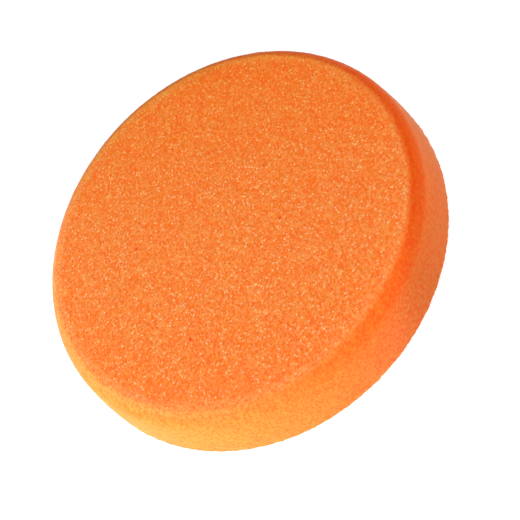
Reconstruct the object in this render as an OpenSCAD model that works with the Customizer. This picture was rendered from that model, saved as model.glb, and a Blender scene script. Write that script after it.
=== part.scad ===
// Round foam polishing pad with a hook-and-loop backing.
// The pad lies on its loops: the working face looks along +Z and the origin is
// the centre of the loop face. Every piece is a solid of revolution about Z.

/* [Foam] */
// Widest diameter of the foam, just above its back edge
foam_d = 150; // [90:1:200]
// Thickness of the foam from its back to its working face
foam_t = 23.4; // [16:0.2:50]
// Angle by which the flank leans in towards the working face, in degrees
flank_lean = 7; // [0:0.5:15]
// Distance from the corner that flank and face would make in to the face's rim
shoulder_w = 3.8; // [1:0.2:8]
// Angle by which the foam turns down at the rim of the face, in degrees
rim_turn = 28; // [10:1:40]
// Radius that rounds the back edge of the foam
back_edge_r = 1.4; // [0.6:0.1:3]

/* [Backing] */
// Distance from the edge of the foam's flat back in to the edge of the fabric
backing_inset = 0.6; // [0.2:0.1:6]
// Thickness of the hot-melt film between foam and fabric
film_t = 0.2; // [0.1:0.05:0.5]
// Thickness of the knitted ground of the loop fabric
ground_t = 0.5; // [0.3:0.05:1]
// Height of the brushed loops
pile_t = 0.9; // [0.5:0.05:2]
// Distance from the edge of the fabric in to the outermost loops
pile_inset = 0.5; // [0:0.1:2]

/* [Hidden] */
$fn = 128;

// Heights of the layers, from the loops up
ground_z = pile_t;
film_z = ground_z + ground_t;
foam_z = film_z + film_t;
face_z = foam_z + foam_t;

// Backing diameters follow the flat back of the foam
backing_d = foam_d - 2 * (back_edge_r + backing_inset);
pile_d = backing_d - 2 * pile_inset;

// Section of the foam: the flank is the line that the back edge and the
// shoulder touch, flank_n its outward normal and flank_c its distance from the
// origin. The shoulder is the arc from the rim of the face round to the flank.
flank_n = [cos(flank_lean), sin(flank_lean)];
back_arc = [foam_d / 2 - back_edge_r, foam_z + back_edge_r];
flank_c = back_arc * flank_n + back_edge_r;
rim = [(flank_c - face_z * flank_n[1]) / flank_n[0] - shoulder_w, face_z];
shoulder_r = shoulder_w * flank_n[0] / (1 - sin(flank_lean + rim_turn));
shoulder = rim - shoulder_r * [sin(rim_turn), cos(rim_turn)];

// Half section of the foam, with its axis on the Y axis of the sketch
module foam_section() {
    polygon([
        [0, foam_z],
        [back_arc[0], foam_z],
        back_arc + back_edge_r * flank_n,
        shoulder + shoulder_r * flank_n,
        rim,
        [0, face_z]
    ]);
    translate(back_arc) circle(r = back_edge_r);
    intersection() {
        translate(shoulder) circle(r = shoulder_r);
        square([foam_d, face_z]);
    }
}

// A flat round layer of the backing
module layer(d, z, t) {
    translate([0, 0, z]) cylinder(d = d, h = t);
}

module foam_disc() {
    color("darkorange") rotate_extrude() foam_section();
}

module bond_film() {
    color("gainsboro") layer(backing_d, film_z, film_t);
}

module loop_ground() {
    color("whitesmoke") layer(backing_d, ground_z, ground_t);
}

module loop_pile() {
    color("white") layer(pile_d, 0, pile_t);
}

foam_disc();
bond_film();
loop_ground();
loop_pile();
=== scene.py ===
"""Looks of a round foam polishing pad with a hook-and-loop backing.

The pad lies on its loops in the frame of its CAD model, in metres: the working
face looks along +Z and the axis of the pad is the Z axis.
"""

from __future__ import annotations

import logging
import math
from collections.abc import Callable
from dataclasses import dataclass, field
from enum import Enum

import bpy
import numpy as np
from mathutils import Matrix, Vector


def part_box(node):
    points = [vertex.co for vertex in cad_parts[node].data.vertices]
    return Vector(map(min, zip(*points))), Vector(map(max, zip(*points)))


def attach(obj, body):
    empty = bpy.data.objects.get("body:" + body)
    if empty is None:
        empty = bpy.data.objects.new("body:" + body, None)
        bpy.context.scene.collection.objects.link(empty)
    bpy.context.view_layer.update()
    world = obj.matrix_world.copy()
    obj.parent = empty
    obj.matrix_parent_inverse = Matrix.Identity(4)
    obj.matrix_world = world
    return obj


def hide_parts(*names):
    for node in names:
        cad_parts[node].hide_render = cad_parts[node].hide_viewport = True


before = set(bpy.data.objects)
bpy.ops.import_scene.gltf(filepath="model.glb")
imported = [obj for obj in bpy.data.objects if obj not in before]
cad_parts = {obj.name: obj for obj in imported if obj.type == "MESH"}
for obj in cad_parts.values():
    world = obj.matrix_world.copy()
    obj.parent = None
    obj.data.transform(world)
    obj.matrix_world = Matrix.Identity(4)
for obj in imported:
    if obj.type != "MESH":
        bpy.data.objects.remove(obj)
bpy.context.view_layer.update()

LOG = logging.getLogger("pad")
MM = 0.001
ROOT = "root"
SAME_HEIGHT = 1e-7

# The group of vertices that displacement follows, and how finely its weights are rounded.
WEIGHT_GROUP = "all_over"
WEIGHT_STEPS = 48

# Each piece's own map: its name, how far a round surface reaches in it from the
# middle, and a number of corners that only the big flat face has.
MAP_NAME = "OFBake"
MAP_REACH = 0.47
BIG_FACE = 100

Piece = bpy.types.Object
Pair = tuple[float, float]
Triple = tuple[float, float, float]
Colour = Triple
Socket = bpy.types.NodeSocket
Value = float | Socket


class Slot(Enum):
    """Material slots of the record."""

    FOAM = "orange_foam"
    FILM = "hot_melt_film"
    GROUND = "knit_ground"
    LOOPS = "brushed_loops"


class Hold(Enum):
    """How a sheet of cloth is held."""

    LAID = "laid"


# ---------------- modelling


def leave_edit_mode() -> None:
    """Returns to object mode if a mesh is open for editing."""
    if bpy.context.object is not None and bpy.context.object.mode != "OBJECT":
        bpy.ops.object.mode_set(mode="OBJECT")


def pick(obj: Piece) -> None:
    """Makes one object the only selected and the active one.

    Args:
        obj: The object.
    """
    leave_edit_mode()
    bpy.ops.object.select_all(action="DESELECT")
    obj.select_set(True)
    bpy.context.view_layer.objects.active = obj


def start_piece(name: str, add: Callable, **settings: object) -> Piece:
    """Adds a primitive, a lamp or the camera with nothing else selected.

    Args:
        name: Its name.
        add: The operator that adds it.
        settings: The operator's values.

    Returns:
        Its object.
    """
    bpy.ops.object.select_all(action="DESELECT")
    add(**settings)
    piece = bpy.context.object
    piece.name = name
    piece.data.name = name
    return piece


def select_where(obj: Piece, kind: str, test: Callable[[list[Vector]], bool]) -> None:
    """Opens a mesh for editing with the elements selected that pass a test.

    Args:
        obj: The mesh object.
        kind: "VERT", "EDGE" or "FACE".
        test: Takes the element's list of corner positions and says whether it is picked.
    """
    pick(obj)
    bpy.ops.object.mode_set(mode="EDIT")
    bpy.ops.mesh.select_mode(type=kind)
    bpy.ops.mesh.select_all(action="DESELECT")
    bpy.ops.object.mode_set(mode="OBJECT")
    mesh = obj.data
    corners = [vert.co for vert in mesh.vertices]
    items = {"VERT": mesh.vertices, "EDGE": mesh.edges, "FACE": mesh.polygons}[kind]
    for item in items:
        item.select = test([item.co] if kind == "VERT" else [corners[i] for i in item.vertices])
    bpy.ops.object.mode_set(mode="EDIT")


def apply_modifier(obj: Piece, kind: str, **settings: object) -> None:
    """Adds a modifier to an object and applies it.

    Args:
        obj: The object to change.
        kind: The modifier's type.
        settings: Values for the modifier's properties.
    """
    pick(obj)
    modifier = obj.modifiers.new(kind.lower(), kind)
    for name, value in settings.items():
        setattr(modifier, name, value)
    bpy.ops.object.modifier_apply(modifier=modifier.name)


def flat_disc(name: str, sides: int, radius: float, place: Triple) -> Piece:
    """Adds a flat disc and opens it with its face selected, ready to be extruded.

    Args:
        name: The piece's name.
        sides: Number of sides.
        radius: Its radius.
        place: Where its middle lies.

    Returns:
        The disc's object.
    """
    add = bpy.ops.mesh.primitive_circle_add
    disc = start_piece(name, add, vertices=sides, radius=radius, fill_type="NGON", location=place)
    bpy.ops.object.transform_apply(location=True, rotation=True, scale=True)
    select_where(disc, "FACE", lambda c: True)
    return disc


def face_outwards() -> None:
    """Turns all faces of the mesh that is open for editing outwards and closes it."""
    bpy.ops.mesh.select_all(action="SELECT")
    bpy.ops.mesh.normals_make_consistent(inside=False)
    leave_edit_mode()


def close_end(piece: Piece, height: float) -> None:
    """Fills the open end of an extruded disc and turns its faces outwards.

    Args:
        piece: The disc.
        height: Height of the open end.
    """
    leave_edit_mode()
    select_where(piece, "EDGE", lambda c: all(abs(p.z - height) < SAME_HEIGHT for p in c))
    bpy.ops.mesh.edge_face_add()
    face_outwards()


def rows_of(items: bpy.types.bpy_prop_collection, name: str) -> np.ndarray:
    """Reads one vector of each item of a mesh.

    Args:
        items: The mesh's vertices or normals.
        name: The vector's name.

    Returns:
        The vectors as rows.
    """
    flat = np.empty(len(items) * 3, np.float32)
    items.foreach_get(name, flat)
    return flat.reshape(-1, 3).astype(np.float64)


def points_of(obj: Piece) -> np.ndarray:
    """Returns the positions of a mesh's vertices as rows."""
    return rows_of(obj.data.vertices, "co")


def move_points(obj: Piece, points: np.ndarray) -> None:
    """Moves a mesh's vertices to new positions, given as rows."""
    obj.data.vertices.foreach_set("co", points.astype(np.float32).ravel())
    obj.data.update()


def smoothstep(low: float, high: float, value: np.ndarray) -> np.ndarray:
    """Returns values mapped to a smooth step, 0 at low and 1 at high."""
    t = np.clip((value - low) / (high - low), 0.0, 1.0)
    return t * t * (3.0 - 2.0 * t)


def turns_of(points: np.ndarray) -> np.ndarray:
    """Returns the direction in which points lie from the axis."""
    return np.arctan2(points[:, 1], points[:, 0])


def away_from(side: float, points: np.ndarray) -> np.ndarray:
    """Returns how far round the axis points lie from one side: 0 there, 1 opposite it."""
    return 0.5 - 0.5 * np.cos(turns_of(points) - side)


def weigh(obj: Piece, weights: np.ndarray) -> None:
    """Gives a mesh its only vertex group.

    Args:
        obj: The mesh object.
        weights: One weight from 0 to 1 for each vertex.
    """
    obj.vertex_groups.clear()
    group = obj.vertex_groups.new(name=WEIGHT_GROUP)
    steps = np.rint(weights * WEIGHT_STEPS).astype(int)
    for step in range(1, WEIGHT_STEPS + 1):
        members = np.flatnonzero(steps == step)
        if len(members):
            group.add(members.tolist(), step / WEIGHT_STEPS, "REPLACE")


def attribute(obj: Piece, name: str, values: np.ndarray) -> None:
    """Stores one number for each vertex, where materials can read it by name."""
    layer = obj.data.attributes.new(name, "FLOAT", "POINT")
    layer.data.foreach_set("value", values.astype(np.float32))


def lay_out(obj: Piece, run: np.ndarray) -> None:
    """Gives a round mesh its own map, laid out flat around its middle, the big face in a corner.

    Args:
        obj: The mesh object.
        run: Distance of each vertex from the middle along the surface.
    """
    mesh = obj.data
    points = points_of(obj)
    turn = turns_of(points)
    reach = MAP_REACH * run / run.max()
    places = np.stack([0.5 + reach * np.cos(turn), 0.5 + reach * np.sin(turn)], 1)
    corners = np.empty(len(mesh.loops), np.int32)
    mesh.loops.foreach_get("vertex_index", corners)
    flat = places[corners]
    for face in mesh.polygons:
        if face.loop_total > BIG_FACE:
            own = slice(face.loop_start, face.loop_start + face.loop_total)
            spots = points[corners[own], :2]
            flat[own] = 0.05 + 0.04 * spots / np.abs(spots).max()
    layer = mesh.uv_layers.new(name=MAP_NAME)
    layer.uv.foreach_set("vector", flat.astype(np.float32).ravel())


# ---------------- materials

# Numbers that the node group for fine grain takes.
GRAIN_NUMBERS = ("Fineness", "Layers", "Strength", "Low", "High")


class Board:
    """A node tree, with short calls that add and join nodes."""

    def __init__(self, tree: bpy.types.NodeTree) -> None:
        """Takes the tree that nodes are added to."""
        self.tree = tree

    def plug(self, node: bpy.types.Node, inputs: dict[str | int, Value | tuple[float, ...]]) -> None:
        """Sets or joins inputs of a node.

        Args:
            node: The node.
            inputs: Values or sockets for its inputs, by name or number.
        """
        for name, value in inputs.items():
            socket = node.inputs[name]
            if isinstance(value, Socket):
                self.tree.links.new(value, socket)
            elif socket.type == "RGBA":
                socket.default_value = (*value, 1.0)
            else:
                socket.default_value = value

    def add(self, kind: str, inputs: dict | None = None, **settings: object) -> bpy.types.Node:
        """Adds a node.

        Args:
            kind: The node's type, without the ShaderNode prefix.
            inputs: Values or sockets for its inputs, by name or number.
            settings: Values for its properties.

        Returns:
            The node.
        """
        node = self.tree.nodes.new("ShaderNode" + kind)
        for name, value in settings.items():
            setattr(node, name, value)
        self.plug(node, inputs or {})
        return node

    def maths(self, operation: str, *values: Value) -> Socket:
        """Adds a Math node for an operation on numbers or sockets and returns its output."""
        return self.add("Math", dict(enumerate(values)), operation=operation).outputs[0]

    def remap(self, value: Socket, low: Value, high: Value, least: float = 0.0, most: float = 1.0) -> Socket:
        """Maps a value from one range to another, with a smooth rise and clamped ends.

        Args:
            value: Socket with the value.
            low: Start of its range, a number or a socket.
            high: End of its range.
            least: Result at the start.
            most: Result at the end.

        Returns:
            The result's socket.
        """
        inputs = {"Value": value, "From Min": low, "From Max": high, "To Min": least, "To Max": most}
        return self.add("MapRange", inputs, interpolation_type="SMOOTHSTEP").outputs["Result"]

    def blend(
        self, share: Value, first: Colour | Socket, second: Colour | Socket, mode: str = "MIX"
    ) -> Socket:
        """Mixes two colours.

        Args:
            share: Share of the second colour, a number or a socket.
            first: The first colour or socket.
            second: The second colour or socket.
            mode: How they mix.

        Returns:
            The mixed colour's socket.
        """
        inputs = {0: share, 6: first, 7: second}
        return self.add("Mix", inputs, data_type="RGBA", blend_type=mode).outputs[2]

    def grain(
        self, where: Socket, size: float, layers: float, strength: float, low: float = 0.3, high: float = 0.7
    ) -> tuple[Socket, Socket]:
        """Places the group for fine grain.

        Args:
            where: Socket with the position, in metres.
            size: Size of the grains, in metres.
            layers: Number of finer layers.
            strength: Strength of each finer layer.
            low: Height that becomes level 0.
            high: Height that becomes level 1.

        Returns:
            The sockets of the height and of the level.
        """
        inputs = dict(zip(("Position", *GRAIN_NUMBERS), (where, 1.0 / size, layers, strength, low, high)))
        outputs = self.add("Group", inputs, node_tree=grain_group()).outputs
        return outputs["Height"], outputs["Level"]

    def noise(self, where: Socket, size: float) -> Socket:
        """Adds a cloudy noise with blotches of one size, in metres, and returns its output."""
        inputs = {"Vector": where, "Scale": 1.0 / size, "Detail": 3.0, "Roughness": 0.5}
        return self.add("TexNoise", inputs).outputs["Fac"]


def grain_group() -> bpy.types.NodeTree:
    """Returns the node group for fine grain, made when it is first asked for.

    Returns:
        A group that turns a position into a raw height and a level from 0 to 1.
    """
    tree = bpy.data.node_groups.get("fine_grain")
    if tree is not None:
        return tree
    tree = bpy.data.node_groups.new("fine_grain", "ShaderNodeTree")
    tree.interface.new_socket("Position", in_out="INPUT", socket_type="NodeSocketVector")
    for name in GRAIN_NUMBERS:
        tree.interface.new_socket(name, in_out="INPUT", socket_type="NodeSocketFloat")
    for name in ("Height", "Level"):
        tree.interface.new_socket(name, in_out="OUTPUT", socket_type="NodeSocketFloat")
    board = Board(tree)
    start = tree.nodes.new("NodeGroupInput").outputs
    names = {"Vector": "Position", "Scale": "Fineness", "Detail": "Layers", "Roughness": "Strength"}
    noise = board.add("TexNoise", {name: start[source] for name, source in names.items()}).outputs["Fac"]
    level = board.remap(noise, start["Low"], start["High"])
    end = tree.nodes.new("NodeGroupOutput").inputs
    tree.links.new(noise, end["Height"])
    tree.links.new(level, end["Level"])
    return tree


def new_material(name: str) -> tuple[bpy.types.Material, Board, bpy.types.Node, Socket]:
    """Starts a material with one Principled shader.

    Args:
        name: The material's name.

    Returns:
        The material, its board, its shader node and the socket of the position on the piece.
    """
    material = bpy.data.materials.new(name)
    material.use_nodes = True
    board = Board(material.node_tree)
    shader = material.node_tree.nodes["Principled BSDF"]
    return material, board, shader, board.add("TexCoord").outputs["Object"]


@dataclass(frozen=True)
class FoamFinish:
    """Open-cell foam: mottled cells with painted shade and light, painted cream glints and dark pores painted
    as shade on the cut face.

    Attributes:
        shaded_pit: Darker colour of the cut face, painted as shade at the bottom of the cells and mixed in by
            random mottling.
        lit_wall: Lighter colour of the cut face, painted as light on the cell walls and mixed in by random
            mottling.
        painted_glint: Colour of painted highlights where thin skins would shine on the cut face.
        pore_shade: Colour of painted shade inside the few open pores.
        wear_and_sheen: Lighter colour along the rim, partly wear and partly painted sheen from the key lamp.
        under_rim_shade: Share of red, green and blue left just below the rim, painted shade.
        low_shade: Share of red, green and blue left low on the flank, painted shade on the shaded side.
        skin_deep: Darker colour of the flank.
        skin_light: Lighter colour of the flank.
        cell: Width of a cell.
        far_shade: Share of red, green and blue left where the painted shade of the dimmer far side is
            deepest.
        far_shade_side: Direction of the side where that painted shade is deepest.
        far_shade_reach: Distances from the axis towards that side between which the painted shade deepens.
        face_mix: Weights of relief, fine grain and blotches in the mottling of the face.
        face_blotch: Size of the blotches of the face.
        skin_mix: The same weights for the flank.
        skin_blotch: Size of the blotches of the flank.
        painted_glint_gap: Distance between the painted glints, in cells.
        pore_gap: Distance between pores.
    """

    shaded_pit: Colour = (0.94, 0.170, 0.011)
    lit_wall: Colour = (0.955, 0.318, 0.070)
    painted_glint: Colour = (0.99, 0.64, 0.34)
    pore_shade: Colour = (0.88, 0.080, 0.004)
    wear_and_sheen: Colour = (0.97, 0.430, 0.140)
    under_rim_shade: Colour = (1.0, 0.68, 0.09)
    low_shade: Colour = (0.93, 0.92, 1.0)
    skin_deep: Colour = (0.965, 0.138, 0.009)
    skin_light: Colour = (0.98, 0.262, 0.040)
    cell: float = 0.84 * MM
    far_shade: Colour = (1.0, 0.86, 0.48)
    far_shade_side: float = math.radians(45.0)
    far_shade_reach: Pair = (-20.0 * MM, 85.0 * MM)
    face_mix: Triple = (0.42, 0.58, 0.36)
    face_blotch: float = 2.6 * MM
    skin_mix: Triple = (0.3, 0.4, 0.3)
    skin_blotch: float = 1.5 * MM
    painted_glint_gap: float = 1.2
    pore_gap: float = 14.0 * MM

    def material(self) -> bpy.types.Material:
        """Makes the foam's material.

        Returns:
            The material.
        """
        material, board, shader, where = new_material("orange_foam")
        fine, soft = board.grain(where, self.cell * 1.1, 2.0, 0.45)
        marks = {"where": where, "fine": fine}
        for name in ("relief", "cut", "wear_and_sheen", "rim_shade", "low"):
            marks[name] = board.add("Attribute", attribute_name=name).outputs["Fac"]
        face = self.face(board, marks)
        skin = self.skin(board, marks)
        ragged = board.maths("ADD", marks["cut"], board.maths("SUBTRACT", fine, 0.5))
        colour = board.blend(board.remap(ragged, 0.35, 0.65), skin, face)
        # Wear and painted sheen: the rim is lightened, most on the side that the key lamp lights.
        share = board.maths("MULTIPLY", marks["wear_and_sheen"], board.maths("MULTIPLY_ADD", soft, 0.4, 0.1))
        colour = board.blend(share, colour, self.wear_and_sheen)
        # Painted shade: the far side, away from the key lamp, is deepened in colour.
        side = (math.cos(self.far_shade_side), math.sin(self.far_shade_side), 0.0)
        away = board.add("VectorMath", {0: where, 1: side}, operation="DOT_PRODUCT").outputs["Value"]
        colour = board.blend(board.remap(away, *self.far_shade_reach), colour, self.far_shade, "MULTIPLY")
        height, _ = board.grain(where, self.cell * 0.5, 2.0, 0.6)
        bump = board.add("Bump", {"Height": height, "Strength": 0.5, "Distance": 0.12 * MM})
        rough = board.remap(fine, 0.3, 0.7, 0.55, 0.75)
        board.plug(shader, {"Base Color": colour, "Roughness": rough, "Normal": bump.outputs["Normal"]})
        board.plug(shader, {"Subsurface Weight": 1.0, "Subsurface Scale": 9.0 * MM})
        board.plug(shader, {"Subsurface Radius": (1.0, 0.12, 0.04), "Specular IOR Level": 0.1})
        board.plug(shader, {"Sheen Weight": 0.22, "Sheen Roughness": 0.35, "Sheen Tint": (1.0, 0.95, 0.9)})
        return material

    @staticmethod
    def mottle(board: Board, marks: dict[str, Socket], mix: Triple, blotch: float) -> Socket:
        """Adds up relief, fine grain and blotches; the relief's share paints shade into the hollows and light
        onto the raised cells.

        Args:
            board: The material's board.
            marks: Sockets of the position and of the surface's numbers, by name.
            mix: Weights of the three.
            blotch: Size of the blotches.

        Returns:
            The sum's socket.
        """
        level = board.maths("MULTIPLY", marks["fine"], mix[1])
        level = board.maths("MULTIPLY_ADD", marks["relief"], mix[0], level)
        return board.maths("MULTIPLY_ADD", board.noise(marks["where"], blotch), mix[2], level)

    def face(self, board: Board, marks: dict[str, Socket]) -> Socket:
        """Colours the cut face: mottled cells with painted shade and light, painted glints and a few open
        pores painted as shade.

        Args:
            board: The material's board.
            marks: The sockets that mottle takes.

        Returns:
            The colour's socket.
        """
        level = self.mottle(board, marks, self.face_mix, self.face_blotch)
        # Painted shade and light: the relief darkens the hollows and lightens the walls, mixed with random
        # mottling.
        colour = board.blend(board.remap(level, 0.48, 0.88), self.shaded_pit, self.lit_wall)
        # Moved aside, so that the painted glints don't follow the pores.
        aside = board.add("Mapping", {"Vector": marks["where"], "Location": (0.3, 0.3, 0.3)})
        inputs = {"Vector": aside.outputs["Vector"], "Scale": 1.0 / (self.cell * self.painted_glint_gap)}
        dots = board.add("TexVoronoi", inputs).outputs
        # Painted highlights: cream glints on the raised cell walls.
        raised = board.remap(marks["relief"], 0.25, 0.6)
        painted_spark = board.maths("MULTIPLY", board.remap(dots["Distance"], 0.44, 0.14), raised)
        painted_spark = board.maths("MULTIPLY", painted_spark, board.remap(dots["Color"], 0.3, 0.7))
        colour = board.blend(painted_spark, colour, self.painted_glint)
        # Painted shade: a few dark spots stand for open pores.
        holes = board.add("TexVoronoi", {"Vector": marks["where"], "Scale": 1.0 / self.pore_gap})
        return board.blend(board.remap(holes.outputs["Distance"], 0.06, 0.03), colour, self.pore_shade)

    def skin(self, board: Board, marks: dict[str, Socket]) -> Socket:
        """Colours the flank: finer and more even than the face, with painted shade just below the rim and low
        down on the shaded side.

        Args:
            board: The material's board.
            marks: The sockets that mottle takes.

        Returns:
            The colour's socket.
        """
        level = self.mottle(board, marks, self.skin_mix, self.skin_blotch)
        colour = board.blend(board.remap(level, 0.32, 0.68), self.skin_deep, self.skin_light)
        # Painted shade: deeper colour just below the rim on the side that the lamps leave dark.
        colour = board.blend(marks["rim_shade"], colour, self.under_rim_shade, "MULTIPLY")
        # Painted shade low on the flank, near the shaded side.
        return board.blend(marks["low"], colour, self.low_shade, "MULTIPLY")


@dataclass(frozen=True)
class FilmFinish:
    """Hot-melt film: milky, with faint flow marks.

    Attributes:
        thin: Colour where the film is thin.
        thick: Colour where it has gathered.
    """

    thin: Colour = (0.62, 0.55, 0.45)
    thick: Colour = (0.80, 0.76, 0.68)

    def material(self) -> bpy.types.Material:
        """Makes the film's material.

        Returns:
            The material.
        """
        material, board, shader, where = new_material("hot_melt_film")
        flow, gathered = board.grain(where, 2.4 * MM, 3.0, 0.5, 0.35, 0.65)
        colour = board.blend(gathered, self.thin, self.thick)
        bump = board.add("Bump", {"Height": flow, "Strength": 0.3, "Distance": 0.1 * MM})
        rough = board.remap(flow, 0.3, 0.7, 0.28, 0.5)
        board.plug(shader, {"Base Color": colour, "Roughness": rough, "Normal": bump.outputs["Normal"]})
        return material


@dataclass(frozen=True)
class YarnFinish:
    """Polyester yarn with fine fibres.

    Attributes:
        name: The material's name.
        shade: Colour between the fibres.
        fibre: Colour of the fibres.
        fine: Thickness of a fibre bundle.
        patch: Size of the patches where the yarn lies another way.
    """

    name: str
    shade: Colour
    fibre: Colour
    fine: float = 0.12 * MM
    patch: float = 7.0 * MM

    def material(self) -> bpy.types.Material:
        """Makes the yarn's material.

        Returns:
            The material.
        """
        material, board, shader, where = new_material(self.name)
        strands, _ = board.grain(where, self.fine, 2.0, 0.6)
        _, patches = board.grain(where, self.patch, 2.0, 0.5, 0.35, 0.65)
        level = board.maths("MULTIPLY_ADD", patches, 0.12, board.maths("MULTIPLY", strands, 0.88))
        colour = board.blend(board.remap(level, 0.28, 0.72), self.shade, self.fibre)
        bump = board.add("Bump", {"Height": strands, "Strength": 0.4, "Distance": self.fine / 2.0})
        rough = board.remap(strands, 0.3, 0.7, 0.7, 0.9)
        board.plug(shader, {"Base Color": colour, "Roughness": rough, "Normal": bump.outputs["Normal"]})
        board.plug(shader, {"Sheen Weight": 0.25, "Sheen Roughness": 0.5, "Specular IOR Level": 0.3})
        return material


# ---------------- pieces


@dataclass(frozen=True)
class Bumps:
    """A texture that moves a surface in and out, by the weights of its vertex group.

    Attributes:
        name: Its name.
        kind: Kind of texture.
        size: Size of its features.
        depth: Distance between its lowest and highest values.
        layers: Number of finer layers of a cloudy texture.
    """

    name: str
    kind: str
    size: float
    depth: float
    layers: int = 1

    def press(self, obj: Piece) -> None:
        """Moves the surface.

        Args:
            obj: The mesh object.
        """
        texture = bpy.data.textures.new(self.name, self.kind)
        texture.noise_scale = self.size
        if self.kind == "CLOUDS":
            texture.noise_depth = self.layers
        ways = {"texture_coords": "LOCAL", "direction": "NORMAL", "vertex_group": WEIGHT_GROUP}
        apply_modifier(obj, "DISPLACE", texture=texture, strength=self.depth, mid_level=0.5, **ways)


@dataclass
class FoamDisc:
    """The round block of cut foam.

    Attributes:
        node: Name of the CAD node that it stands for.
        lean: Angle by which the flank leans in.
        shoulder: Distance from the corner that flank and face would make in to the rim.
        rim_turn: Angle by which the foam turns down at the rim.
        rim_round: Length that rounds the rim on either side of it.
        off_centre: How far the face sits off the axis.
        back_edge: Radius that rounds the back edge.
        bow: How far the middle of the flank swells.
        voxel: Size of the grid that carries the cells.
        cell_depth: Depth of the cells of the cut face.
        shaded_side: Direction of the side that the key lamp leaves in shade, where the rim gets the least
            wear and painted sheen.
        rim_shade_side: Direction of the side where the painted shade below the rim is deepest.
        cut_inset: Distance from the rim in to the border of the cut face.
        cut_blur: Half the width of that border.
        wear_sheen_start: Distances past the rim between which the wear and painted sheen set in.
        wear_sheen_lap: Distance inside the rim at which it starts to fade.
        wear_sheen_reach: How far past the rim it fades on the shaded side, and how much farther on the lit
            side opposite.
        wear_sheen_share: Its strength on the shaded side, and how much more on the lit side opposite.
        rim_shade_rise: Distances past the rim between which the painted shade sets in.
        rim_shade_fall: Distances past the rim where it is gone and where it starts to fade.
        low_shade_rise: Distances past the rim between which the painted shade low on the flank sets in.
        foot_rise: Heights above the back between which the edge turns ragged.
        foot_fall: Heights where that is gone and where it starts to fade.
        segments: Number of sides that the block starts with.
        finish: The foam's finish.
    """

    node: str = "foam_disc"
    lean: float = math.radians(7.0)
    shoulder: float = 3.8 * MM
    rim_turn: float = math.radians(28.0)
    rim_round: float = 0.8 * MM
    off_centre: Pair = (0.45 * MM, -0.15 * MM)
    back_edge: float = 1.4 * MM
    bow: float = 0.3 * MM
    voxel: float = 0.28 * MM
    segments: int = 256
    cell_depth: float = 0.14 * MM
    shaded_side: float = math.radians(-40.0)
    rim_shade_side: float = math.radians(-15.0)
    cut_inset: float = 0.6 * MM
    cut_blur: float = 0.9 * MM
    wear_sheen_start: Pair = (-4.0 * MM, -1.2 * MM)
    wear_sheen_lap: float = 0.4 * MM
    wear_sheen_reach: Pair = (1.2 * MM, 6.0 * MM)
    wear_sheen_share: Pair = (0.5, 0.8)
    rim_shade_rise: Pair = (0.0, 1.5 * MM)
    rim_shade_fall: Pair = (9.0 * MM, 4.0 * MM)
    low_shade_rise: Pair = (6.0 * MM, 14.0 * MM)
    foot_rise: Pair = (0.2 * MM, 0.9 * MM)
    foot_fall: Pair = (5.0 * MM, 1.5 * MM)
    finish: FoamFinish = field(default_factory=FoamFinish)

    def __post_init__(self) -> None:
        """Takes the block's place from its CAD node."""
        low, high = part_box(self.node)
        self.radius = high.x
        self.back_z = low.z
        self.face_z = high.z
        self.normal = (math.cos(self.lean), math.sin(self.lean))
        arc_r, arc_z = self.radius - self.back_edge, self.back_z + self.back_edge
        reach = arc_r * self.normal[0] + arc_z * self.normal[1] + self.back_edge
        corner = (reach - self.face_z * self.normal[1]) / self.normal[0]
        self.rim = corner - self.shoulder
        self.bend = self.shoulder * self.normal[0] / (1.0 - math.sin(self.lean + self.rim_turn))
        self.flat_limit = 0.3 * self.voxel

    def section(self) -> list[Triple]:
        """Works out the foam's half section.

        Returns:
            Radius, height and share of the off-centre shift for each point, from the back to the face.
        """
        points = []
        centre = (self.radius - self.back_edge, self.back_z + self.back_edge)
        for turn in np.linspace(-math.pi / 2.0, self.lean, 6):
            way = (math.cos(turn), math.sin(turn))
            points.append((*(centre[i] + self.back_edge * way[i] for i in (0, 1)), 0.0))
        foot = points[-1]
        way = (math.sin(self.rim_turn), math.cos(self.rim_turn))
        centre = (self.rim - self.bend * way[0], self.face_z - self.bend * way[1])
        top = [centre[i] + self.bend * self.normal[i] for i in (0, 1)]
        for part in (0.2, 0.4, 0.6, 0.8):
            swell = 4.0 * part * (1.0 - part) * self.bow
            place = [foot[i] + (top[i] - foot[i]) * part + swell * self.normal[i] for i in (0, 1)]
            points.append((*place, 0.0))
        start = math.pi / 2.0 - self.lean
        stop = self.rim_turn + self.rim_round / self.bend
        for tilt in np.linspace(start, stop, 12):
            share = (start - tilt) / (start - self.rim_turn)
            way = (math.sin(tilt), math.cos(tilt))
            points.append((*(centre[i] + self.bend * way[i] for i in (0, 1)), share))
        low = points[-1]
        for part in (0.33, 0.67):
            along = [(1 - part) ** 2, 2 * part * (1 - part), part**2]
            ends = ((low[0], low[1]), (self.rim, self.face_z), (self.rim - self.rim_round, self.face_z))
            points.append((*(sum(w * end[i] for w, end in zip(along, ends)) for i in (0, 1)), 1.0))
        points.append((self.rim - self.rim_round, self.face_z, 1.0))
        return points

    def build(self) -> Piece:
        """Models the block, rounded and given its cells, and puts it in the frame.

        Returns:
            The foam's object.
        """
        disc = self.block()
        apply_modifier(disc, "REMESH", mode="VOXEL", voxel_size=self.voxel, adaptivity=0.0)
        self.flatten_back(disc)
        self.map_surface(disc)
        self.open_cells(disc)
        pick(disc)
        bpy.ops.object.shade_smooth()
        self.dress(disc)
        return disc

    def flatten_back(self, disc: Piece) -> None:
        """Joins the flat faces of the glued back into one.

        Args:
            disc: The foam's object.
        """
        edge = self.radius - self.back_edge - self.voxel
        low = self.back_z + self.flat_limit
        select_where(disc, "FACE", lambda c: all(p.z < low and p.xy.length < edge for p in c))
        bpy.ops.mesh.dissolve_faces()
        leave_edit_mode()

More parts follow.
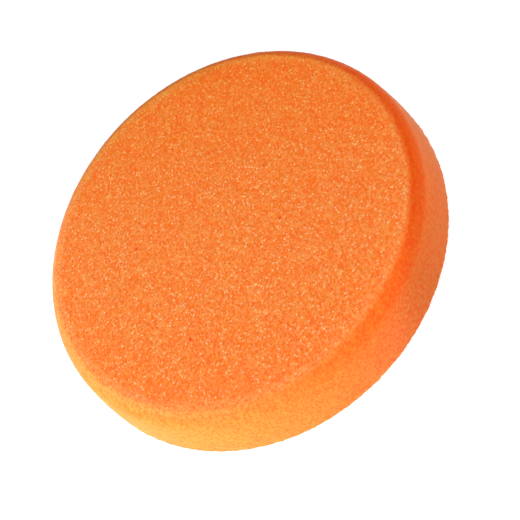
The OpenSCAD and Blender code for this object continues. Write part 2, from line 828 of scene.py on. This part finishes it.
    def along(self, points: np.ndarray) -> np.ndarray:
        """Works out how far points lie from the middle of the face, along the surface.

        Args:
            points: Positions on the surface as rows.

        Returns:
            The distance along the section for each point.
        """
        section = np.array(self.section())[::-1]
        steps = np.hypot(np.diff(section[:, 0]), np.diff(section[:, 1]))
        runs = np.concatenate([[0.0], np.cumsum(steps)]) + section[0, 0]
        lift = np.clip((points[:, 2] - self.back_z) / (self.face_z - self.back_z), 0.0, 1.0)
        radius = np.hypot(points[:, 0] - self.off_centre[0] * lift, points[:, 1] - self.off_centre[1] * lift)
        best = np.full(len(points), np.inf)
        run = radius.copy()
        for first, last, start, step in zip(section[:-1], section[1:], runs[:-1], steps):
            way = (last[:2] - first[:2]) / step
            share = np.clip((radius - first[0]) * way[0] + (points[:, 2] - first[1]) * way[1], 0.0, step)
            gap = np.hypot(radius - first[0] - share * way[0], points[:, 2] - first[1] - share * way[1])
            nearer = gap < best
            best = np.where(nearer, gap, best)
            run = np.where(nearer, start + share, run)
        run = np.where((radius < section[-1, 0]) & (lift < 0.5), runs[-1] + section[-1, 0] - radius, run)
        return np.where((radius < section[0, 0]) & (lift > 0.5), radius, run)

    def map_surface(self, disc: Piece) -> None:
        """Notes where the surface is cut, where it gets wear and painted sheen and where painted shade
        deepens it, and lays it out flat.

        Args:
            disc: The foam's object.
        """
        points = points_of(disc)
        run = self.along(points)
        border = self.rim - self.cut_inset
        self.cut = smoothstep(border + self.cut_blur, border - self.cut_blur, run)
        attribute(disc, "cut", self.cut)
        past = run - self.rim
        # Share of the way round from the shaded side to the lit side.
        toward_lit = away_from(self.shaded_side, points)
        reach = self.wear_sheen_reach[0] + self.wear_sheen_reach[1] * toward_lit**2
        fade = smoothstep(1.0, 0.0, (past + self.wear_sheen_lap) / (reach + self.wear_sheen_lap))
        strength = self.wear_sheen_share[0] + self.wear_sheen_share[1] * toward_lit
        attribute(disc, "wear_and_sheen", smoothstep(*self.wear_sheen_start, past) * fade * strength)
        # Painted shade just below the rim, strongest on the side that the lamps leave dark.
        rim_shade = smoothstep(*self.rim_shade_rise, past) * smoothstep(*self.rim_shade_fall, past)
        attribute(disc, "rim_shade", rim_shade * (1.0 - away_from(self.rim_shade_side, points)) ** 2)
        # Painted shade low on the flank, only near the shaded side.
        attribute(disc, "low", smoothstep(*self.low_shade_rise, past) * smoothstep(0.35, 0.1, toward_lit))
        lay_out(disc, run)

    def open_cells(self, disc: Piece) -> None:
        """Raises the cell walls and sinks the cells between them.

        Args:
            disc: The foam's object.
        """
        before = points_of(disc)
        normals = rows_of(disc.data.vertex_normals, "vector")
        held = before[:, 2] < self.back_z + self.flat_limit
        weigh(disc, np.where(held, 0.0, 0.95 + 0.05 * self.cut))
        Bumps("foam_cells", "VORONOI", self.finish.cell * 1.15, self.cell_depth).press(disc)
        Bumps("foam_crumbs", "CLOUDS", self.finish.cell * 0.8, self.cell_depth).press(disc)
        lift = np.einsum("ij,ij->i", points_of(disc) - before, normals)
        Bumps("foam_waves", "CLOUDS", 3.5 * MM, 0.15 * MM).press(disc)
        height = before[:, 2] - self.back_z
        foot = smoothstep(*self.foot_rise, height) * smoothstep(*self.foot_fall, height)
        weigh(disc, np.where(held, 0.0, 0.25 + 0.75 * foot))
        Bumps("foam_nicks", "CLOUDS", 1.8 * MM, 0.55 * MM, 2).press(disc)
        spread = np.clip((lift - lift.mean()) / (3.0 * lift.std()), -1.0, 1.0)
        attribute(disc, "relief", 0.5 + 0.5 * spread)
        disc.vertex_groups.clear()

    def block(self) -> Piece:
        """Shapes the smooth block, extruded ring by ring from its back to its face.

        Returns:
            The block's object.
        """
        section = self.section()
        radius, height, shift = section[0]
        disc = flat_disc("pad_foam", self.segments, radius, (0.0, 0.0, height))
        for wide, high, share in section[1:]:
            step = ((share - shift) * self.off_centre[0], (share - shift) * self.off_centre[1], high - height)
            bpy.ops.mesh.extrude_region_move(TRANSFORM_OT_translate={"value": step})
            bpy.ops.transform.resize(value=(wide / radius, wide / radius, 1.0))
            radius, height, shift = wide, high, share
        close_end(disc, self.back_z)
        return disc

    def dress(self, disc: Piece) -> None:
        """Gives the foam its material and its place in the frame.

        Args:
            disc: The foam's object.
        """
        disc.data.materials.append(self.finish.material())
        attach(disc, ROOT)
        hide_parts(self.node)


@dataclass
class Backing:
    """The laminated back: hot-melt film, knitted ground and brushed loops.

    Attributes:
        film_node: CAD node of the film.
        ground_node: CAD node of the knitted ground.
        pile_node: CAD node of the loops.
        edge_waves: Waves of the film's edge: number round it, share and phase of each.
        squeeze: How far the film's edge wanders.
        stitch: Width of a knitted stitch.
        relief: Height of the knitted ribs.
        loops: Number of loops in each of the two layers of pile.
        yarn: Thickness of the yarn of a loop.
        rooted: How deep the loops stand in the ground.
        sides: Number of sides of the yarn, any but 4.
        foot: Where a loop's first foot stands, in heights of the loop.
        route: Middles of the yarn from there to its other foot, in heights of the loop.
        bends: How far the yarn turns at each of them, in degrees.
        scatter: How far loops stray from an even spread.
        widths: Smallest and largest width of a loop, in widths of the plain loop.
        heights: Smallest and largest height, in heights of the plain loop.
        lie: How far loops lie over, in heights.
        seed: Start of the random draws.
    """

    film_node: str = "bond_film"
    ground_node: str = "loop_ground"
    pile_node: str = "loop_pile"
    edge_waves: tuple[Triple, ...] = ((17, 0.5, 0.7), (41, 0.3, 0.0), (89, 0.2, 2.0))
    squeeze: float = 0.1 * MM
    stitch: float = 1.5 * MM
    relief: float = 0.14 * MM
    loops: int = 6200
    yarn: float = 0.24 * MM
    rooted: float = 0.16 * MM
    sides: int = 3
    foot: float = -0.36
    route: tuple[Pair, ...] = ((-0.55, -0.45), (-0.36, -0.82), (0.06, -0.88), (0.42, -0.62), (0.40, 0.0))
    bends: tuple[float, ...] = (-8.0, 48.0, 60.0, 50.0, 26.0)
    scatter: float = 0.22 * MM
    widths: Pair = (0.8, 1.5)
    heights: Pair = (0.80, 1.0)
    lie: float = 0.45
    seed: int = 7

    def film(self) -> Piece:
        """Models the film, with an edge that has squeezed out unevenly.

        Returns:
            The film's object.
        """
        low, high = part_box(self.film_node)
        film = flat_disc("pad_film", 360, high.x, (0.0, 0.0, low.z))
        half = (high.z - low.z) / 2.0
        for grow in (1.001, 1.0 / 1.001):
            bpy.ops.mesh.extrude_region_move(TRANSFORM_OT_translate={"value": (0.0, 0.0, half)})
            bpy.ops.transform.resize(value=(grow, grow, 1.0))
        close_end(film, low.z)
        points = points_of(film)
        turn = turns_of(points)
        wave = sum(share * np.sin(count * turn + phase) for count, share, phase in self.edge_waves)
        points[:, :2] *= (1.0 + wave * self.squeeze / high.x)[:, None]
        move_points(film, points)
        film.data.materials.append(FilmFinish().material())
        return film

    def ground(self) -> Piece:
        """Models the knitted ground, with ribs of stitches on its underside.

        Returns:
            The ground's object.
        """
        low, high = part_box(self.ground_node)
        cells = int(2.0 * high.x / (0.36 * self.stitch))
        grid = {"x_subdivisions": cells, "y_subdivisions": cells, "size": 2.0 * high.x}
        grid["location"] = (0.0, 0.0, low.z)
        ground = start_piece("pad_knit_ground", bpy.ops.mesh.primitive_grid_add, **grid)
        bpy.ops.object.transform_apply(location=True, rotation=True, scale=True)
        inner = high.x - 0.15 * self.stitch
        select_where(ground, "VERT", lambda c: c[0].xy.length > inner)
        bpy.ops.mesh.delete(type="VERT")
        bpy.ops.mesh.select_mode(type="EDGE")
        bpy.ops.mesh.select_all(action="DESELECT")
        bpy.ops.mesh.select_non_manifold()
        bpy.ops.object.mode_set(mode="OBJECT")
        points = points_of(ground)
        edge = np.array([vert.select for vert in ground.data.vertices])
        radius = np.hypot(points[:, 0], points[:, 1])
        points[edge, :2] *= (high.x / radius[edge])[:, None]
        move_points(ground, points)
        bpy.ops.object.mode_set(mode="EDIT")
        bpy.ops.mesh.extrude_edges_move(TRANSFORM_OT_translate={"value": (0.0, 0.0, high.z - low.z)})
        bpy.ops.mesh.edge_face_add()
        face_outwards()
        self.knit(ground, low.z, high.x)
        # The ground is darker than the loops: partly the film seen through the knit, partly painted shade
        # between the loops.
        finish = YarnFinish("knit_ground", (0.50, 0.49, 0.46), (0.72, 0.71, 0.68))
        ground.data.materials.append(finish.material())
        return ground

    def knit(self, ground: Piece, height: float, radius: float) -> None:
        """Raises ribs of stitches on the underside of the ground.

        Args:
            ground: The ground's object.
            height: Height of the underside.
            radius: Radius of the ground.
        """
        points = points_of(ground)
        under = np.abs(points[:, 2] - height) < SAME_HEIGHT
        inside = smoothstep(radius, radius - self.stitch, np.hypot(points[:, 0], points[:, 1]))
        wale = 2.0 * math.pi * points[:, 0] / self.stitch
        course = 2.0 * math.pi * points[:, 1] / (0.8 * self.stitch)
        rib = 0.6 * np.cos(wale) + 0.4 * np.cos(course + np.where(np.cos(wale) > 0.0, 0.0, math.pi))
        points[:, 2] += under * inside * (0.5 + 0.5 * rib) * self.relief
        move_points(ground, points)

    def loop(self, tall: float) -> tuple[np.ndarray, list[tuple[int, ...]]]:
        """Models one loop of yarn: a bent tube that hangs from the origin.

        Args:
            tall: Height of the loop.

        Returns:
            Its points as rows, ring by ring, and its faces.
        """
        middle = Vector((self.foot * tall, 0.0, 0.0))
        shape = flat_disc("one_loop", self.sides, self.yarn / 2.0, tuple(middle))
        for (x, z), bend in zip(self.route, self.bends):
            step = Vector((x * tall, 0.0, z * tall)) - middle
            bpy.ops.mesh.extrude_region_move(TRANSFORM_OT_translate={"value": step})
            middle += step
            turn = math.radians(bend)
            bpy.ops.transform.rotate(value=turn, orient_axis="Y", center_override=tuple(middle))
        leave_edit_mode()
        points = points_of(shape)
        faces = [tuple(face.vertices) for face in shape.data.polygons]
        bpy.data.objects.remove(shape)
        return points, faces

    def pile(self, name: str, seed: int) -> Piece:
        """Models brushed loops: one loop, copied all over the ground, each with its own lie.

        Args:
            name: The piece's name.
            seed: Start of the random draws.

        Returns:
            The loops' object.
        """
        low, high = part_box(self.pile_node)
        tall = high.z - low.z + self.rooted
        shape, faces = self.loop(tall)
        draw = np.random.default_rng(seed)
        index = np.arange(self.loops)
        reach = (high.x - 0.6 * tall) * np.sqrt((index + 0.5) / self.loops)
        turn = index * math.pi * (3.0 - math.sqrt(5.0)) + seed
        place = np.stack([reach * np.cos(turn), reach * np.sin(turn)], 1)
        place += draw.normal(0.0, self.scatter, place.shape)
        spin = draw.uniform(0.0, 2.0 * math.pi, self.loops)
        wide = draw.uniform(*self.widths, self.loops)
        drop = draw.uniform(*self.heights, self.loops)
        lean = draw.normal(0.0, self.lie, (self.loops, 2))
        x, y, z = (np.repeat(shape[None, :, i], self.loops, 0) for i in range(3))
        x, z = x * wide[:, None], z * drop[:, None]
        cosine, sine = np.cos(spin)[:, None], np.sin(spin)[:, None]
        x, y = x * cosine - y * sine, x * sine + y * cosine
        x += place[:, :1] - lean[:, :1] * z
        y += place[:, 1:] - lean[:, 1:] * z
        shrink = np.minimum(1.0, high.x / np.hypot(x, y))
        z = np.maximum(z + high.z + self.rooted, low.z)
        spots = np.stack([x * shrink, y * shrink, z], 2).reshape(-1, 3)
        corners = [tuple(i + len(shape) * n for i in face) for n in range(self.loops) for face in faces]
        mesh = bpy.data.meshes.new(name)
        mesh.from_pydata(spots.tolist(), [], corners)
        mesh.update()
        self.unroll(mesh, faces)
        loops = bpy.data.objects.new(name, mesh)
        bpy.context.scene.collection.objects.link(loops)
        pick(loops)
        bpy.ops.object.mode_set(mode="EDIT")
        face_outwards()
        bpy.ops.object.shade_smooth()
        return loops

    def unroll(self, mesh: bpy.types.Mesh, faces: list[tuple[int, ...]]) -> None:
        """Gives each loop its own small cell of the map, with its yarn unrolled.

        Args:
            mesh: The mesh of the loops, with its faces in the order of one loop after another.
            faces: The faces of one loop.
        """
        rings = len(self.route) + 1
        spots = []
        for face in faces:
            sides = [i % self.sides for i in face]
            wraps = 0 in sides and self.sides - 1 in sides
            for order, (i, side) in enumerate(zip(face, sides)):
                ring = i // self.sides
                if len(face) == self.sides:
                    spot = (0.1 + 0.3 * (order == 1), (0.97 if ring else 0.02) + 0.02 * (order == 2))
                else:
                    turns = self.sides if wraps and side == 0 else side
                    spot = (turns / (self.sides + 1.0), (ring + 1.0) / (rings + 1.0))
                spots.append(spot)
        across = math.ceil(math.sqrt(self.loops))
        number = np.arange(self.loops)
        cells = np.stack([number % across, number // across], 1)
        flat = (cells[:, None] + 0.05 + 0.9 * np.array(spots)[None]) / across
        layer = mesh.uv_layers.new(name=MAP_NAME)
        layer.uv.foreach_set("vector", flat.astype(np.float32).ravel())

    def build(self) -> list[Piece]:
        """Models the three layers and puts them in the frame.

        Returns:
            The objects of the film, the ground and the loops.
        """
        film, ground = self.film(), self.ground()
        loops = [self.pile(f"pad_loops_{i}", self.seed + i) for i in (1, 2)]
        yarn = YarnFinish("brushed_loops", (0.80, 0.79, 0.77), (0.95, 0.945, 0.93)).material()
        rows = [(film, self.film_node, Slot.FILM), (ground, self.ground_node, Slot.GROUND)]
        for piece in loops:
            piece.data.materials.append(yarn)
            rows.append((piece, self.pile_node, Slot.LOOPS))
        for piece, node, slot in rows:
            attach(piece, ROOT)
            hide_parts(node)
        return [film, ground, *loops]


# ---------------- studio


@dataclass
class Lamp:
    """A soft rectangular lamp that faces the pad.

    Attributes:
        name: The lamp's name.
        azimuth: Direction that it stands in, from +X towards +Y, in degrees.
        elevation: Height above the floor, in degrees.
        distance: Distance from the pad.
        size: Width and height.
        power: Power in watts.
        colour: Colour of its light.
    """

    name: str
    azimuth: float
    elevation: float
    distance: float
    size: Pair
    power: float
    colour: Colour = (1.0, 1.0, 1.0)

    def build(self, target: Vector) -> None:
        """Puts the lamp in place.

        Args:
            target: The point that it faces.
        """
        turn, rise = math.radians(self.azimuth), math.radians(self.elevation)
        away = Vector((math.cos(turn) * math.cos(rise), math.sin(turn) * math.cos(rise), math.sin(rise)))
        place = target + away * self.distance
        lamp = start_piece(self.name, bpy.ops.object.light_add, type="AREA", location=place)
        lamp.rotation_euler = away.to_track_quat("Z", "Y").to_euler()
        lamp.data.shape = "RECTANGLE"
        lamp.data.size, lamp.data.size_y = self.size
        lamp.data.energy = self.power
        lamp.data.color = self.colour


@dataclass
class Studio:
    """Camera, floor and soft light.

    Attributes:
        elevation: Height of the camera above the floor, in degrees.
        roll: Turn of the camera about its own axis, in degrees.
        distance: Distance from the camera to the centre of the foam's back.
        aside: How far the camera stands right of and above that centre, along its own axes.
        lens: Focal length in millimetres on a 36 mm sensor.
        lamps: The lamps.
        sky: Strength of the light from all round.
        floor_glow: Light that the white floor gives the pad.
        floor_seen: Brightness of the floor itself.
    """

    elevation: float = 53.25
    roll: float = -46.55
    distance: float = 0.450
    aside: Pair = (0.00347, -0.00308)
    lens: float = 86.08
    lamps: tuple[Lamp, ...] = (
        Lamp("key", 204.0, 18.0, 1.2, (0.18, 0.18), 23.0),
        Lamp("top_softbox", -90.0, 88.0, 0.9, (0.6, 0.6), 4.0),
        Lamp("right_softbox", -38.0, 15.0, 0.8, (0.5, 0.4), 2.5, (1.0, 0.84, 0.70)),
    )
    sky: float = 0.02
    floor_glow: float = 0.69
    floor_seen: float = 0.93

    def camera(self, back_centre: Vector) -> None:
        """Sets up the camera.

        Args:
            back_centre: Centre of the foam's back.
        """
        turn = Matrix.Rotation(math.pi / 2.0 - math.radians(self.elevation), 4, "X")
        turn = turn @ Matrix.Rotation(math.radians(self.roll), 4, "Z")
        place = back_centre + turn @ Vector((*self.aside, self.distance))
        add = bpy.ops.object.camera_add
        camera = start_piece("studio_camera", add, location=place, rotation=turn.to_euler())
        camera.data.sensor_width = 36.0
        camera.data.lens = self.lens
        camera.data.clip_start = 0.01
        bpy.context.scene.camera = camera

    def floor(self) -> None:
        """Lays the pale floor."""
        add = bpy.ops.mesh.primitive_plane_add
        floor = start_piece("studio_floor", add, size=6.0, location=(0.0, 0.0, -0.01 * MM))
        material, board, shader, where = new_material("pale_floor")
        grain = board.remap(board.noise(where, 40.0 * MM), 0.3, 0.7)
        tone = board.blend(grain, (0.19, 0.19, 0.19), (0.21, 0.21, 0.21))
        seen = board.add("LightPath").outputs["Is Camera Ray"]
        glow = board.maths("MULTIPLY_ADD", seen, self.floor_seen - self.floor_glow, self.floor_glow)
        board.plug(shader, {"Base Color": tone, "Roughness": 0.9, "Specular IOR Level": 0.0})
        board.plug(shader, {"Emission Color": (1.0, 1.0, 1.0), "Emission Strength": glow})
        behind = board.add("NewGeometry").outputs["Backfacing"]
        clear = board.add("BsdfTransparent").outputs["BSDF"]
        both = board.add("MixShader", {0: behind, 1: shader.outputs["BSDF"], 2: clear}).outputs["Shader"]
        board.plug(material.node_tree.nodes["Material Output"], {"Surface": both})
        floor.data.materials.append(material)

    def air(self) -> None:
        """Sets the light from all round and how the picture is toned."""
        scene = bpy.context.scene
        world = bpy.data.worlds.new("studio_air")
        world.use_nodes = True
        board = Board(world.node_tree)
        seen = board.add("LightPath").outputs["Is Camera Ray"]
        strength = board.remap(seen, 0.0, 1.0, self.sky, self.floor_seen)
        background = world.node_tree.nodes["Background"]
        board.plug(background, {"Color": (1.0, 1.0, 1.0), "Strength": strength})
        scene.world = world
        scene.view_settings.view_transform = "Standard"

    def build(self, back_centre: Vector) -> None:
        """Builds the whole studio.

        Args:
            back_centre: Centre of the foam's back.
        """
        self.camera(back_centre)
        self.floor()
        for lamp in self.lamps:
            lamp.build(back_centre)
        self.air()


def main() -> None:
    """Builds the pad and its studio in order."""
    logging.basicConfig(level=logging.INFO, format="%(name)s: %(message)s")
    foam = FoamDisc()
    for piece in (foam.build(), *Backing().build()):
        LOG.info("%s: %d faces", piece.name, len(piece.data.polygons))
    Studio().build(Vector((0.0, 0.0, foam.back_z)))


if __name__ == "__main__":
    main()
